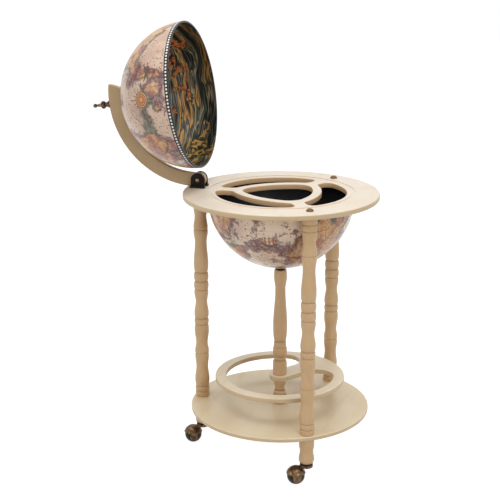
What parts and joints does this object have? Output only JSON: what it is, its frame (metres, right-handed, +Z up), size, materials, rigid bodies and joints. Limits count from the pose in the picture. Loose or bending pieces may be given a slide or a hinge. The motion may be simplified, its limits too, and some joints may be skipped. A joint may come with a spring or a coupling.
{
  "type": "floor globe bar",
  "caption": "Floor drinks cabinet shaped as a globe: the lid half opens on an arm over a pierced board, on turned legs with shelf, bottle plate and casters.",
  "frame": {"origin": "on the floor, at the centre of the bounding box of the open bar; the centre post stands 111.8 mm towards +X of it", "axes": "+Z up; the hinge is on the -X side of the board, so the open lid hangs towards -X; the hinge axis is along Y and the front of the pictured view is -Y"},
  "size_m": [0.6656, 0.442, 1.0009],
  "materials": {
    "cream_paint": "satin cream paint",
    "turned_wood": "satin, light beige stain",
    "pale_wood": "satin, pale beige stain",
    "plug_wood": "amber, polished",
    "globe_lacquer": "glossy lacquered print",
    "dark_bronze": "semi-gloss dark brown",
    "dark_plastic": "matt",
    "black_plastic": "satin black",
    "antique_brass": "antique",
    "zinc_steel": "zinc plated"
  },
  "bodies": {
    "stand": {"board": "cream_paint", "bowl": "globe_lacquer", "shelf": "pale_wood", "plate": "pale_wood", "post_lower": "turned_wood", "post_upper": "turned_wood", "post_collar": "dark_plastic", "post_rod": "zinc_steel", "post_nut": "zinc_steel", "post_washer": "zinc_steel", "bowl_washer": "zinc_steel", "bowl_bolt": "zinc_steel", "leg_front": "turned_wood", "foot_front": "turned_wood", "leg_rod_front": "zinc_steel", "leg_bolt_front": "zinc_steel", "plug_front": "plug_wood", "caster_ring_front": "dark_plastic", "caster_stem_front": "zinc_steel", "leg_left": "turned_wood", "foot_left": "turned_wood", "leg_rod_left": "zinc_steel", "leg_bolt_left": "zinc_steel", "caster_ring_left": "dark_plastic", "caster_stem_left": "zinc_steel", "leg_back": "turned_wood", "foot_back": "turned_wood", "leg_rod_back": "zinc_steel", "leg_bolt_back": "zinc_steel", "plug_back": "plug_wood", "caster_ring_back": "dark_plastic", "caster_stem_back": "zinc_steel", "hinge_bracket": "dark_bronze", "bracket_screw_0": "antique_brass", "bracket_screw_1": "antique_brass", "hinge_pin": "antique_brass", "hinge_nut": "antique_brass"},
    "lid": {"arm": "cream_paint", "dome_spacer": "antique_brass", "finial_stud": "zinc_steel", "finial": "antique_brass"},
    "half_globe": {"dome": "globe_lacquer", "dome_washer": "antique_brass", "dome_nut": "antique_brass"},
    "caster_front": {"caster_body_front": "antique_brass", "caster_axle_front": "antique_brass"},
    "wheel_front": {"caster_wheel_front": "black_plastic"},
    "caster_left": {"caster_body_left": "antique_brass", "caster_axle_left": "antique_brass"},
    "wheel_left": {"caster_wheel_left": "black_plastic"},
    "caster_back": {"caster_body_back": "antique_brass", "caster_axle_back": "antique_brass"},
    "wheel_back": {"caster_wheel_back": "black_plastic"}
  },
  "joints": [
    {"name": "lid_hinge", "type": "hinge", "parent": "stand", "child": "lid", "pos_m": [-0.0803, 0, 0.6458], "axis": [0, 1, 0], "range_deg": [0, 98.3]},
    {"name": "dome_turn", "type": "hinge", "parent": "lid", "child": "half_globe", "pos_m": [-0.09049, 0, 0.83846], "axis": [-0.9894, 0, -0.1452], "continuous": true},
    {"name": "swivel_front", "type": "hinge", "parent": "stand", "child": "caster_front", "pos_m": [0.21237, -0.15872, 0], "axis": [0, 0, 1], "continuous": true},
    {"name": "roll_front", "type": "hinge", "parent": "caster_front", "child": "wheel_front", "pos_m": [0.19067, -0.16749, 0.02], "axis": [0.3746, -0.9272, 0], "continuous": true},
    {"name": "swivel_left", "type": "hinge", "parent": "stand", "child": "caster_left", "pos_m": [-0.07594, -0.00774, 0], "axis": [0, 0, 1], "continuous": true},
    {"name": "roll_left", "type": "hinge", "parent": "caster_left", "child": "wheel_left", "pos_m": [-0.09764, -0.0165, 0.02], "axis": [0.3746, -0.9272, 0], "continuous": true},
    {"name": "swivel_back", "type": "hinge", "parent": "stand", "child": "caster_back", "pos_m": [0.19897, 0.16646, 0], "axis": [0, 0, 1], "continuous": true},
    {"name": "roll_back", "type": "hinge", "parent": "caster_back", "child": "wheel_back", "pos_m": [0.17727, 0.15769, 0.02], "axis": [0.3746, -0.9272, 0], "continuous": true}
  ]
}
